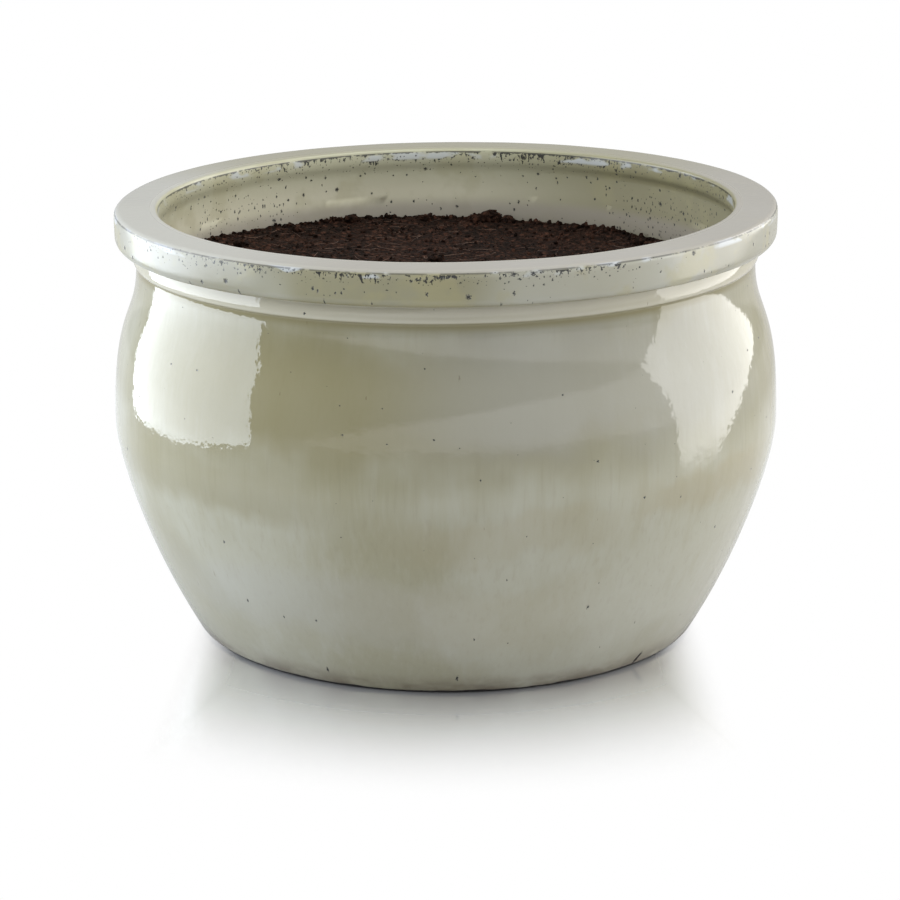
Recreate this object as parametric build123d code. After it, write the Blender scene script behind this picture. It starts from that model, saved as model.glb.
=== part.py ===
from build123d import *
import math
import os

# A round glazed stoneware planter with its filling. Millimetres, +Z up, origin at the centre
# of the foot, where the pot meets the ground. Every piece but the drain fittings is turned
# about the Z axis.

# Overall sizes
HEIGHT = 293.0
RIM_D = 450.0

# Outside of the wall
FOOT_D = 347.0
FOOT_FLARE = 59.0  # degrees above level at which the wall leaves the foot
BELLY_Z = 146.0
BELLY_BULGE = 17.0  # belly beyond the neck, on the radius
FOOT_HOLD = 0.42  # how long each end of the two wall spans keeps its direction,
BELLY_LOW_HOLD = 0.18  # as a share of the span's rise
BELLY_HIGH_HOLD = 0.72
NECK_HOLD = 0.38
FOOT_EDGE_R = 5.0

# Rim band and the collar under it
BAND_H = 24.0
RIM_OVERHANG = 14.0  # rim beyond the neck, on the radius
BAND_TAPER = 1.5
BAND_EDGE_R = 4.0
COLLAR_H = 13.0
COLLAR_PROUD = 1.6
COLLAR_TOP_PROUD = 0.8

# Inside of the wall
WALL = 14.0
NECK_WALL = 12.0
LIP_H = 12.0
LIP_PROUD = 3.0
LIP_COVE_H = 3.0
LIP_EDGE_R = 3.0
FLOOR_T = 18.0
FLOOR_CORNER_R = 12.0

# Underside
RECESS_H = 7.0
FOOT_RING_W = 24.0
RECESS_EDGE_R = 2.0

# Drain holes
DRAIN_COUNT = 3
DRAIN_CIRCLE_R = 85.0
DRAIN_D = 30.0

# Plastic mesh over each hole. An odd number of openings puts one on the hole's centre line.
MESH_PITCH = 5.0
MESH_STRAND = 1.5
MESH_CELLS = 11
MESH_T = 1.5

# Wire clip that holds each mesh
WIRE_D = 1.6
FOOT_BEND_R = 3.0
LOOP_BEND_R = 4.0
FOOT_GRIP = 8.0  # how far each bent foot reaches past the hole's edge
LOOP_CELLS = 4  # openings from the hole's centre to each end of the loop
LOOP_DEPTH_CELLS = 2

# Filling
GRAVEL_T = 30.0
SOIL_DROP = 52.0  # top of the mix under the rim
FIT_GAP = 0.3

TOUCH = 0.01  # two places closer than this are the same place

# Worked-out sizes
RIM_R = RIM_D / 2
NECK_R = RIM_R - RIM_OVERHANG
BELLY_R = NECK_R + BELLY_BULGE
FOOT_R = FOOT_D / 2
FLARE = math.radians(FOOT_FLARE)
BAND_Z = HEIGHT - BAND_H
NECK_Z = BAND_Z - COLLAR_H
LIP_Z = HEIGHT - LIP_H
INNER_NECK_R = NECK_R - NECK_WALL
MOUTH_R = INNER_NECK_R - LIP_PROUD
FLOOR_Z = RECESS_H + FLOOR_T
RECESS_R = FOOT_R - FOOT_RING_W
GRAVEL_TOP_Z = FLOOR_Z + GRAVEL_T
SOIL_TOP_Z = HEIGHT - SOIL_DROP

DRAIN_R = DRAIN_D / 2
MESH_SIZE = MESH_CELLS * MESH_PITCH + MESH_STRAND
MESH_OPENING = MESH_PITCH - MESH_STRAND
WIRE_R = WIRE_D / 2
LEG_CELLS = math.floor((DRAIN_R - WIRE_R - FIT_GAP) / MESH_PITCH)


def wall_line(inset, inner):
    """The wall from the ground line up to the neck: a flared span out to the belly, then a
    span that draws in to the neck. inset moves the whole line inwards."""
    foot_r = FOOT_R - inset - (WALL / math.sin(FLARE) if inner else 0)
    belly_r = BELLY_R - inset - (WALL if inner else 0)
    neck_r = NECK_R - inset - (NECK_WALL if inner else 0)
    reach = FOOT_HOLD * BELLY_Z
    rise = NECK_Z - BELLY_Z
    flared = Bezier(
        (foot_r, 0),
        (foot_r + reach * math.cos(FLARE), reach * math.sin(FLARE)),
        (belly_r, BELLY_Z - BELLY_LOW_HOLD * BELLY_Z),
        (belly_r, BELLY_Z),
    )
    drawn_in = Bezier(
        (belly_r, BELLY_Z),
        (belly_r, BELLY_Z + BELLY_HIGH_HOLD * rise),
        (neck_r, NECK_Z - NECK_HOLD * rise),
        (neck_r, NECK_Z),
    )
    return flared + drawn_in


def turned(section):
    """A section drawn as radius and height, turned about Z."""
    return revolve(Plane.XZ * section, Axis.Z)


def edges_at(solid, radius, height):
    """The circular edges of that radius at that height."""
    circles = solid.edges().filter_by(GeomType.CIRCLE)
    level = circles.filter_by_position(Axis.Z, height - TOUCH, height + TOUCH)
    return [edge for edge in level if abs(edge.radius - radius) < TOUCH]


def pot_outside():
    """Everything inside the pot's outer surface, filled."""
    collar_top = (NECK_R + COLLAR_TOP_PROUD, BAND_Z)
    collar = ThreePointArc(
        (NECK_R, NECK_Z), (NECK_R + COLLAR_PROUD, (NECK_Z + BAND_Z) / 2), collar_top
    )
    band_low = (RIM_R - BAND_TAPER, BAND_Z)
    band_high = (RIM_R, HEIGHT)
    rest = Polyline(collar_top, band_low, band_high, (0, HEIGHT), (0, 0), (FOOT_R, 0))
    section = make_face(wall_line(0, inner=False) + collar + rest)
    corners = [
        section.vertices().sort_by_distance((radius, height, 0))[0]
        for radius, height in (band_low, band_high)
    ]
    section = fillet(corners, BAND_EDGE_R)
    body = turned(section)
    return fillet(edges_at(body, FOOT_R, 0), FOOT_EDGE_R)


def cavity(inset=0.0, low=FLOOR_Z, high=HEIGHT):
    """The space inside the pot between two heights, drawn in by inset all round."""
    neck = (INNER_NECK_R - inset, NECK_Z)
    under_lip = (INNER_NECK_R - inset, LIP_Z - LIP_COVE_H)
    lip = (MOUTH_R - inset, LIP_Z)
    wall = wall_line(inset, inner=True)
    rest = Polyline(neck, under_lip, lip, (MOUTH_R - inset, HEIGHT), (0, HEIGHT), (0, 0), wall @ 0)
    section = make_face(wall + rest) & level_band(FLOOR_Z, HEIGHT)
    floor_corner = section.vertices().group_by(Axis.Y)[0].sort_by(Axis.X)[-1]
    section = fillet(floor_corner, FLOOR_CORNER_R)
    return turned(section & level_band(low, high))


def level_band(low, high):
    """The part of a section's plane between two heights, out past the widest piece."""
    width = BELLY_R + RIM_R
    return Pos(0, low) * Rectangle(width, high - low, align=(Align.MIN, Align.MIN))


def drain_places():
    """One place over each drain hole, at ground level, with X pointing away from the pot's axis."""
    return PolarLocations(DRAIN_CIRCLE_R, DRAIN_COUNT, start_angle=90)


def pot_shell():
    shell = pot_outside() - cavity()
    shell -= Cylinder(RECESS_R, RECESS_H, align=(Align.CENTER, Align.CENTER, Align.MIN))
    shell -= [
        place * Cylinder(DRAIN_R, FLOOR_Z, align=(Align.CENTER, Align.CENTER, Align.MIN))
        for place in drain_places()
    ]
    shell = fillet(edges_at(shell, MOUTH_R, HEIGHT), LIP_EDGE_R)
    return fillet(edges_at(shell, RECESS_R, 0), RECESS_EDGE_R)


def drain_mesh():
    """A square of plastic mesh, lying on the pot's floor over the Z axis."""
    sheet = Rectangle(MESH_SIZE, MESH_SIZE)
    sheet -= GridLocations(MESH_PITCH, MESH_PITCH, MESH_CELLS, MESH_CELLS) * Rectangle(
        MESH_OPENING, MESH_OPENING
    )
    return Pos(0, 0, FLOOR_Z) * extrude(sheet, MESH_T)


def mesh_wire():
    """A clip bent from one wire: a flat loop on the mesh, and two legs that go down through
    openings and the drain hole and turn outwards under the floor."""
    loop_z = FLOOR_Z + MESH_T + WIRE_R
    foot_z = RECESS_H - WIRE_R
    foot_y = DRAIN_R + FOOT_GRIP
    leg_y = LEG_CELLS * MESH_PITCH
    loop_y = LOOP_CELLS * MESH_PITCH
    loop_x = LOOP_DEPTH_CELLS * MESH_PITCH
    side = [
        (0, foot_y, foot_z),
        (0, leg_y, foot_z),
        (0, leg_y, loop_z),
        (0, loop_y, loop_z),
        (loop_x, loop_y, loop_z),
    ]
    other_side = [(x, -y, z) for x, y, z in reversed(side)]
    leg_bends = [FOOT_BEND_R, MESH_OPENING / 2, LOOP_BEND_R, LOOP_BEND_R]
    route = FilletPolyline(*side, *other_side, radius=[*leg_bends, *reversed(leg_bends)])
    section = Plane(origin=route @ 0, z_dir=route % 0) * Circle(WIRE_R)
    return sweep(section, route)


def drainage_gravel():
    """The gravel layer, with a shallow pocket over each mesh and its clip."""
    layer = cavity(FIT_GAP, high=GRAVEL_TOP_Z)
    pocket_w = MESH_SIZE + 2 * FIT_GAP
    pocket_h = MESH_T + WIRE_D + FIT_GAP
    pocket = Pos(0, 0, FLOOR_Z) * Box(
        pocket_w, pocket_w, pocket_h, align=(Align.CENTER, Align.CENTER, Align.MIN)
    )
    return layer - [place * pocket for place in drain_places()]


def potting_soil():
    return cavity(FIT_GAP, low=GRAVEL_TOP_Z, high=SOIL_TOP_Z)


pieces = {
    "pot_shell": pot_shell(),
    "drainage_gravel": drainage_gravel(),
    "potting_soil": potting_soil(),
}
for number, place in enumerate(drain_places(), start=1):
    pieces[f"drain_mesh_{number}"] = place * drain_mesh()
    pieces[f"mesh_wire_{number}"] = place * mesh_wire()

os.makedirs("parts", exist_ok=True)
for node, shape in pieces.items():
    export_step(shape, f"parts/{node}.step")
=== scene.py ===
import math
import random

import bpy
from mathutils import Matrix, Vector
from mathutils.bvhtree import BVHTree
from mathutils.geometry import interpolate_bezier


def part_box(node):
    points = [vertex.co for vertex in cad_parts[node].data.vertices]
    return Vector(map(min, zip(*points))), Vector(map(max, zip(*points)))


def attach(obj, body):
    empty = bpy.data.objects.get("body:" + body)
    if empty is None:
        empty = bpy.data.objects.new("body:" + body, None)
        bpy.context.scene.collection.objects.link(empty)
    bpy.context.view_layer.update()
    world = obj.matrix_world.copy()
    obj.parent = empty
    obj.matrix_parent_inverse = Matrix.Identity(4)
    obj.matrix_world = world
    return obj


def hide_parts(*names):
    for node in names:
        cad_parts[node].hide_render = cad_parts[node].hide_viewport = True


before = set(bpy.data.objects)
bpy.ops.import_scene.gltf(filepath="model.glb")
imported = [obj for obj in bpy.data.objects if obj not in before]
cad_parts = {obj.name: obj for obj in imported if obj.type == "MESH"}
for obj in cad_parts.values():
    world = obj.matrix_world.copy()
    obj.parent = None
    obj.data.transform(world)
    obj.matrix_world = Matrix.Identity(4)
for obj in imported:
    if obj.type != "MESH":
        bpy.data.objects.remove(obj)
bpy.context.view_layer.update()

# A round glazed stoneware planter, filled with potting mix over drainage gravel. Metres, +Z up,
# with the origin at the centre of the foot. "Front" is the -Y side.

MM = 0.001
WHOLE_TURN = 2 * math.pi

POT_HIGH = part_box("pot_shell")[1]
MIX_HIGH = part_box("potting_soil")[1]
GRAVEL_LOW, GRAVEL_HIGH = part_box("drainage_gravel")

# The pot's outside
HEIGHT = POT_HIGH.z
BELLY_R = POT_HIGH.x
NECK_R = BELLY_R - 17 * MM
RIM_R = NECK_R + 14 * MM
FOOT_R = 173.5 * MM
FLARE = math.radians(59)
BELLY_Z = 146 * MM
FOOT_HOLD = 0.42
BELLY_LOW_HOLD = 0.18
BELLY_HIGH_HOLD = 0.72
NECK_HOLD = 0.38
FOOT_EDGE_R = 5 * MM
BAND_Z = HEIGHT - 24 * MM
NECK_Z = BAND_Z - 13 * MM
BAND_TAPER = 0.3 * MM
BAND_EDGE_R = 4 * MM
BAND_LOW_EDGE_R = 6 * MM
COLLAR_PROUD = 2.8 * MM
COLLAR_TOP_PROUD = 0.8 * MM
BAND_BULGE = 0.3 * MM
GLAZE_FILLET = 2 * MM

# The pot's inside and underside
WALL = 14 * MM
INNER_NECK_R = NECK_R - 12 * MM
MOUTH_R = INNER_NECK_R - 3 * MM
LIP_Z = HEIGHT - 12 * MM
LIP_COVE_Z = LIP_Z - 3 * MM
LIP_EDGE_R = 3 * MM
LIP_BLEND_R = 4 * MM
LIP_REACH = 14 * MM
FLOOR_Z = GRAVEL_LOW.z
FLOOR_CORNER_R = 12 * MM
RECESS_Z = 7 * MM
RECESS_R = FOOT_R - 24 * MM
RECESS_EDGE_R = 2 * MM
RECESS_CORNER_R = 4 * MM

DRAIN_R = 15 * MM
DRAIN_CIRCLE_R = 85 * MM
DRAIN_ANGLES = [math.radians(90 + 120 * turn) for turn in range(3)]
MESH_HALF = 28.25 * MM
CENTRE_R = 12 * MM  # the smallest ring of each turned disc
WALL_COUNT = 24  # stops on each span of an inner wall

FIT_GAP = 0.3 * MM
ROUND_SEGMENTS = 320
RIM_LIFT = 2.4 * MM  # how much the fired rim rises at +X, and drops at -X


# ---------------------------------------------------------------- working by hand


def deselect_all():
    if bpy.context.object and bpy.context.object.mode != "OBJECT":
        bpy.ops.object.mode_set(mode="OBJECT")
    bpy.ops.object.select_all(action="DESELECT")


def pick(piece):
    """Only this piece is selected and active."""
    deselect_all()
    piece.select_set(True)
    bpy.context.view_layer.objects.active = piece


def named(name):
    """The piece that was just added, with its name."""
    piece = bpy.context.active_object
    piece.name = name
    piece.data.name = name
    return piece


def settle(piece):
    """The piece's place goes into its mesh."""
    pick(piece)
    bpy.ops.object.transform_apply(location=True, rotation=True, scale=True)


def apply_all(piece):
    pick(piece)
    for modifier in list(piece.modifiers):
        bpy.ops.object.modifier_apply(modifier=modifier.name)


def join(pieces, name):
    deselect_all()
    for piece in pieces:
        piece.select_set(True)
    bpy.context.view_layer.objects.active = pieces[0]
    bpy.ops.object.join()
    joined = named(name)
    settle(joined)
    return joined


def select_faces(piece, wanted):
    """In edit mode, selects the faces whose centre and normal pass the test."""
    pick(piece)
    bpy.ops.object.mode_set(mode="EDIT")
    bpy.ops.mesh.select_mode(type="FACE")
    bpy.ops.mesh.select_all(action="DESELECT")
    bpy.ops.object.mode_set(mode="OBJECT")
    for face in piece.data.polygons:
        face.select = wanted(face.center, face.normal)
    bpy.ops.object.mode_set(mode="EDIT")


def smooth(piece, degrees=40):
    pick(piece)
    bpy.ops.object.shade_smooth_by_angle(angle=math.radians(degrees))


def hand_over(piece, slot, *nodes):
    """The finished piece rides on the planter and stands for its CAD nodes; the slot is not used."""
    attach(piece, "root")
    if nodes:
        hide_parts(*nodes)


def roughen(piece, name, size, depth, basis=None, group=None):
    """Pushes the surface in and out by a cloudy pattern of that size and full depth."""
    pattern = bpy.data.textures.new(name, "CLOUDS")
    pattern.noise_scale = size
    if basis:
        pattern.noise_basis = basis
    push = piece.modifiers.new(name, "DISPLACE")
    push.texture = pattern
    push.texture_coords = "LOCAL"
    push.strength = depth
    push.mid_level = 0.5
    if group:
        push.vertex_group = group


# ---------------------------------------------------------------- turned shapes


def curve_stops(start, start_handle, end_handle, end, count):
    points = [Vector((*point, 0)) for point in (start, start_handle, end_handle, end)]
    return [(stop.x, stop.y) for stop in interpolate_bezier(*points, count)]


def corner_stops(before, corner, after, size, count=7):
    """Stops round a corner between two runs, on an arc of that size."""
    before, corner, after = Vector(before), Vector(corner), Vector(after)
    back = (before - corner).normalized()
    on = (after - corner).normalized()
    opening = back.angle(on)
    reach = size / math.tan(opening / 2)
    hold = 4 / 3 * math.tan((math.pi - opening) / 4) * size
    start = corner + back * reach
    end = corner + on * reach
    return curve_stops(start, start - back * hold, end - on * hold, end, count)


def wall_stops(inset, count):
    """The wall's line from the ground up to the neck, in radius and height."""
    foot_r = FOOT_R - inset / math.sin(FLARE)
    belly_r = BELLY_R - inset
    neck_r = NECK_R if inset == 0 else INNER_NECK_R - (inset - WALL)
    reach = FOOT_HOLD * BELLY_Z
    rise = NECK_Z - BELLY_Z
    flared = curve_stops(
        (foot_r, 0),
        (foot_r + reach * math.cos(FLARE), reach * math.sin(FLARE)),
        (belly_r, BELLY_Z * (1 - BELLY_LOW_HOLD)),
        (belly_r, BELLY_Z),
        count,
    )
    drawn_in = curve_stops(
        (belly_r, BELLY_Z),
        (belly_r, BELLY_Z + BELLY_HIGH_HOLD * rise),
        (neck_r, NECK_Z - NECK_HOLD * rise),
        (neck_r, NECK_Z),
        count,
    )
    return flared + drawn_in[1:]


def between(stops, low, high):
    return [stop for stop in stops if low < stop[1] < high]


def run_stops(start, end, count):
    """Evenly spaced stops between two points, without the ends."""
    shares = [step / (count + 1) for step in range(1, count + 1)]
    return [tuple(a + (b - a) * share for a, b in zip(start, end)) for share in shares]


def raise_rings(name, stops):
    """A round wall raised ring by ring through the stops, with a disc at each end."""
    deselect_all()
    (radius, height), *rest = stops
    bpy.ops.mesh.primitive_circle_add(
        vertices=ROUND_SEGMENTS, radius=radius, location=(0, 0, height)
    )
    piece = named(name)
    settle(piece)
    bpy.ops.object.mode_set(mode="EDIT")
    bpy.ops.mesh.select_mode(type="EDGE")
    bpy.ops.mesh.select_all(action="SELECT")
    for next_radius, next_height in rest:
        bpy.ops.mesh.extrude_region_move(
            TRANSFORM_OT_translate={"value": (0, 0, next_height - height)}
        )
        growth = next_radius / radius
        bpy.ops.transform.resize(value=(growth, growth, 1), center_override=(0, 0, 0))
        radius, height = next_radius, next_height
    bpy.ops.mesh.select_all(action="DESELECT")
    bpy.ops.mesh.select_non_manifold()
    bpy.ops.mesh.fill_holes(sides=0)
    bpy.ops.mesh.select_all(action="SELECT")
    bpy.ops.mesh.normals_make_consistent(inside=False)
    bpy.ops.object.mode_set(mode="OBJECT")
    return piece


def pot_outline():
    """The pot's section, from the middle of the recess under the foot, up the outside, over
    the rim and down the inside to the middle of the floor."""
    outside = wall_stops(0, 46)
    inside = wall_stops(WALL, WALL_COUNT)
    flare_point = outside[1]
    neck_below = outside[-2]
    collar_top = (NECK_R + COLLAR_TOP_PROUD, BAND_Z)
    collar = curve_stops(
        (NECK_R, NECK_Z),
        (NECK_R + COLLAR_PROUD, NECK_Z + 0.5 * MM),
        (NECK_R + COLLAR_PROUD, NECK_Z + 5 * MM),
        collar_top,
        14,
    )
    band_low = (RIM_R - BAND_TAPER, BAND_Z)
    band_high = (RIM_R, HEIGHT)
    mouth_high = (MOUTH_R, HEIGHT)
    mouth_low = (MOUTH_R, LIP_Z)
    cove = (INNER_NECK_R, LIP_COVE_Z)
    floor_corner = min(inside, key=lambda stop: abs(stop[1] - FLOOR_Z))
    floor_corner = (floor_corner[0], FLOOR_Z)
    band_face = [
        (radius + BAND_BULGE * math.sin(math.pi * (height - BAND_Z) / (HEIGHT - BAND_Z)), height)
        for radius, height in run_stops(band_low, band_high, 11)[3:-2]
    ]
    above_floor = between(inside, FLOOR_Z + FLOOR_CORNER_R, NECK_Z)
    below_neck = between(outside, FOOT_EDGE_R * 0.6, NECK_Z - 2 * GLAZE_FILLET)
    return [
        (CENTRE_R, RECESS_Z),
        *run_stops((CENTRE_R, RECESS_Z), (RECESS_R, RECESS_Z), 14),
        *corner_stops((0, RECESS_Z), (RECESS_R, RECESS_Z), (RECESS_R, 0), RECESS_CORNER_R, 5),
        *corner_stops((RECESS_R, RECESS_Z), (RECESS_R, 0), (FOOT_R, 0), RECESS_EDGE_R, 5),
        *run_stops((RECESS_R + RECESS_EDGE_R, 0), (FOOT_R - FOOT_EDGE_R, 0), 3),
        *corner_stops((RECESS_R, 0), (FOOT_R, 0), flare_point, FOOT_EDGE_R),
        *below_neck,
        *corner_stops(neck_below, (NECK_R, NECK_Z), collar[2], GLAZE_FILLET, 5),
        *collar[3:-1],
        *corner_stops(collar[-2], collar_top, band_low, GLAZE_FILLET, 5),
        *run_stops(collar_top, band_low, 4)[1:-1],
        *corner_stops(collar_top, band_low, band_face[0], BAND_LOW_EDGE_R, 10),
        *band_face,
        *corner_stops(band_face[-1], band_high, mouth_high, BAND_EDGE_R, 9),
        *run_stops(band_high, mouth_high, 11)[2:-2],
        *corner_stops(band_high, mouth_high, mouth_low, LIP_EDGE_R, 9),
        *run_stops(mouth_high, mouth_low, 6)[2:-1],
        *corner_stops(mouth_high, mouth_low, cove, LIP_BLEND_R, 5),
        *corner_stops(mouth_low, cove, (INNER_NECK_R, NECK_Z), LIP_BLEND_R, 5),
        *run_stops(cove, (INNER_NECK_R, NECK_Z), 7)[1:],
        (INNER_NECK_R, NECK_Z),
        *reversed(above_floor),
        *corner_stops(above_floor[0], floor_corner, (0, FLOOR_Z), FLOOR_CORNER_R * 0.8, 6),
        *run_stops((floor_corner[0] - FLOOR_CORNER_R, FLOOR_Z), (CENTRE_R, FLOOR_Z), 10),
        (CENTRE_R, FLOOR_Z),
    ]


# ---------------------------------------------------------------- the pot


def drain_cutter(angle):
    """What is cut out for one drain hole: a plug that flares a little at the underside."""
    deselect_all()
    centre = (DRAIN_CIRCLE_R * math.cos(angle), DRAIN_CIRCLE_R * math.sin(angle), 0)
    bpy.ops.mesh.primitive_cylinder_add(
        vertices=64, radius=DRAIN_R, depth=4 * FLOOR_Z, location=(centre[0], centre[1], 3 * FLOOR_Z)
    )
    cutter = named("drain_cutter")
    settle(cutter)
    select_faces(cutter, lambda middle, normal: normal.z < -0.9)
    steps = [
        (RECESS_Z + 2.5 * MM, 0),
        (RECESS_Z + 1 * MM, 0.6 * MM),
        (RECESS_Z, 1.6 * MM),
        (RECESS_Z - 1 * MM, 3.4 * MM),
    ]
    radius, height = DRAIN_R, FLOOR_Z
    for next_height, flare in steps:
        bpy.ops.mesh.extrude_region_move(
            TRANSFORM_OT_translate={"value": (0, 0, next_height - height)}
        )
        growth = (DRAIN_R + flare) / radius
        bpy.ops.transform.resize(value=(growth, growth, 1), center_override=centre)
        radius, height = DRAIN_R + flare, next_height
    bpy.ops.object.mode_set(mode="OBJECT")
    return cutter


def warp_rim(piece):
    """The rim dried a little out of level: a lattice lifts it at +X and drops it at -X."""
    deselect_all()
    bpy.ops.object.add(type="LATTICE", location=(0, 0, HEIGHT / 2))
    cage = named("rim_cage")
    cage.scale = (2 * BELLY_R, 2 * BELLY_R, HEIGHT)
    cage.data.points_u, cage.data.points_v, cage.data.points_w = 2, 2, 3
    for direction in ("u", "v", "w"):
        setattr(cage.data, f"interpolation_type_{direction}", "KEY_LINEAR")
    for point in cage.data.points:
        if point.co.z > 0.1:
            lift = math.copysign(RIM_LIFT * BELLY_R / RIM_R, point.co.x)
            point.co_deform = point.co + Vector((0, 0, lift / HEIGHT))
    pull = piece.modifiers.new("rim_warp", "LATTICE")
    pull.object = cage
    apply_all(piece)
    bpy.data.objects.remove(cage)


def sponge_lip(pot):
    """The wet lip inside the mouth was wiped smooth with a sponge, except on the +X side."""
    wiped = pot.vertex_groups.new(name="wiped_lip")
    for vertex in pot.data.vertices:
        radius = math.hypot(vertex.co.x, vertex.co.y)
        if not MOUTH_R - 1 * MM < radius < INNER_NECK_R + 1 * MM:
            continue
        near = 1 - abs(vertex.co.z - LIP_COVE_Z) / LIP_REACH
        kept = max(0.0, vertex.co.x / radius) ** 2
        wiped.add([vertex.index], max(0.0, min(1.0, 2 * near)) * (1 - kept), "REPLACE")
    sponge = pot.modifiers.new("sponge", "SMOOTH")
    sponge.vertex_group = "wiped_lip"
    sponge.factor = 0.8
    sponge.iterations = 50
    apply_all(pot)


def throw_pot():
    pot = raise_rings("glazed_pot", pot_outline())
    sponge_lip(pot)
    above_foot = pot.vertex_groups.new(name="above_foot")
    for vertex in pot.data.vertices:
        share = min(1.0, max(0.0, (vertex.co.z - FOOT_EDGE_R) / (6 * FOOT_EDGE_R)))
        above_foot.add([vertex.index], share, "REPLACE")
    roughen(pot, "thrown_wobble", 125 * MM, 0.7 * MM, group="above_foot")
    roughen(pot, "hand_ripple", 24 * MM, 0.14 * MM, group="above_foot")
    apply_all(pot)
    for angle in DRAIN_ANGLES:
        cutter = drain_cutter(angle)
        cut = pot.modifiers.new("drain_hole", "BOOLEAN")
        cut.operation = "DIFFERENCE"
        cut.solver = "EXACT"
        cut.object = cutter
        apply_all(pot)
        bpy.data.objects.remove(cutter)
    warp_rim(pot)
    pot.data.materials.append(glaze_finish())
    pot.data.materials.append(fired_clay_finish())
    select_faces(
        pot,
        lambda middle, normal: middle.z < FLOOR_Z - 1 * MM
        and math.hypot(middle.x, middle.y) < FOOT_R - 2 * FOOT_EDGE_R,
    )
    pot.active_material_index = 1
    bpy.ops.object.material_slot_assign()
    smooth(pot)
    hand_over(pot, "glazed_stoneware", "pot_shell")
    return pot


# ---------------------------------------------------------------- the potting mix


def cavity_stops(low, high, inset):
    """The line of the pot's inside between two heights, drawn in by the inset."""
    wall = wall_stops(WALL + inset, WALL_COUNT)
    return [(min(radius, BELLY_R), height) for radius, height in between(wall, low, high)]


def mix_body():
    """The mix up to above its top, as the pot's inside shapes it."""
    low = GRAVEL_HIGH.z
    sides = cavity_stops(low, MIX_HIGH.z + 12 * MM, FIT_GAP)
    bottom_r = sides[0][0]
    return raise_rings(
        "potting_mix",
        [
            (CENTRE_R, low),
            *run_stops((CENTRE_R, low), (bottom_r, low), 8),
            *sides,
            *run_stops(sides[-1], (CENTRE_R, sides[-1][1]), 4),
            (CENTRE_R, sides[-1][1]),
        ],
    )


def mix_top():
    """A slab whose upper face is the lumpy top of the mix, a little higher at -X."""
    deselect_all()
    bpy.ops.mesh.primitive_grid_add(
        x_subdivisions=290,
        y_subdivisions=290,
        size=2 * (INNER_NECK_R + 4 * MM),
        location=(0, 0, MIX_HIGH.z - 0.5 * MM),
        rotation=(0, math.radians(0.9), 0),
    )
    top = named("mix_top")
    settle(top)
    roughen(top, "settled_mix", 70 * MM, 6 * MM)
    roughen(top, "mix_lumps", 13 * MM, 3.4 * MM, basis="BLENDER_ORIGINAL")
    roughen(top, "mix_crumbs", 4.6 * MM, -2.8 * MM, basis="VORONOI_F1")
    apply_all(top)
    pick(top)
    bpy.ops.object.mode_set(mode="EDIT")
    bpy.ops.mesh.select_all(action="SELECT")
    bpy.ops.mesh.extrude_region_move(TRANSFORM_OT_translate={"value": (0, 0, -0.3)})
    bpy.ops.mesh.select_all(action="SELECT")
    bpy.ops.mesh.normals_make_consistent(inside=False)
    bpy.ops.object.mode_set(mode="OBJECT")
    return top


def fill_mix():
    mix = mix_body()
    top = mix_top()
    trim = mix.modifiers.new("lumpy_top", "BOOLEAN")
    trim.operation = "INTERSECT"
    trim.solver = "EXACT"
    trim.object = top
    apply_all(mix)
    bpy.data.objects.remove(top)
    smooth(mix, 60)
    mix.data.materials.append(mix_finish())
    hand_over(mix, "potting_mix", "potting_soil")
    return mix


def lump(name, size, detail, seed):
    """One lump of earth: a round blank, knocked about."""
    deselect_all()
    bpy.ops.mesh.primitive_ico_sphere_add(subdivisions=detail, radius=size)
    piece = named(name)
    bpy.ops.object.mode_set(mode="EDIT")
    bpy.ops.mesh.select_all(action="SELECT")
    bpy.ops.transform.vertex_random(offset=0.34 * size, seed=seed)
    bpy.ops.transform.resize(value=(1.0, 0.8, 0.66))
    bpy.ops.object.mode_set(mode="OBJECT")
    return piece


def copy_of(piece, place, turn, size):
    """A copy with its own mesh, put in its place."""
    copy = piece.copy()
    copy.data = piece.data.copy()
    copy.location = place
    copy.rotation_euler = turn
    copy.scale = (size, size, size)
    bpy.context.scene.collection.objects.link(copy)
    return copy


def ground_of(piece):
    """A tree of the piece's faces, to find the ground under a point."""
    corners = [vertex.co for vertex in piece.data.vertices]
    return BVHTree.FromPolygons(corners, [face.vertices for face in piece.data.polygons])


def height_on(ground, x, y):
    """The height of the ground at a point, or None beside it."""
    place, _, _, _ = ground.ray_cast(Vector((x, y, HEIGHT)), Vector((0, 0, -1)))
    return place.z if place else None


CRUMB_COUNT = 2600
CRUMBS_AT_WALL = 620
FIBRE_COUNT = 380


def scatter_crumbs(ground):
    """Loose crumbs on the mix, more of them along the wall."""
    chance = random.Random(7)
    models = [lump(f"crumb_{number}", 1 * MM, 1, number) for number in range(1, 8)]
    crumbs = []
    reach = INNER_NECK_R - 3 * MM
    while len(crumbs) < CRUMB_COUNT:
        angle = chance.uniform(0, WHOLE_TURN)
        radius = reach * chance.random() ** 0.42
        x, y = radius * math.cos(angle), radius * math.sin(angle)
        level = height_on(ground, x, y)
        if level is None:
            continue
        size = 0.6 + 1.9 * chance.random() ** 4
        turn = [chance.uniform(0, WHOLE_TURN) for _ in range(3)]
        crumbs.append(copy_of(chance.choice(models), (x, y, level + 0.25 * size * MM), turn, size))
    for _ in range(CRUMBS_AT_WALL):
        angle = chance.uniform(0, WHOLE_TURN)
        radius = INNER_NECK_R - chance.uniform(2, 8) * MM
        x, y = radius * math.cos(angle), radius * math.sin(angle)
        size = chance.uniform(0.8, 3.0)
        turn = [chance.uniform(0, WHOLE_TURN) for _ in range(3)]
        place = (x, y, (height_on(ground, x, y) or MIX_HIGH.z) + 0.3 * size * MM)
        crumbs.append(copy_of(chance.choice(models), place, turn, size))
    for model in models:
        bpy.data.objects.remove(model)
    return crumbs


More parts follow.
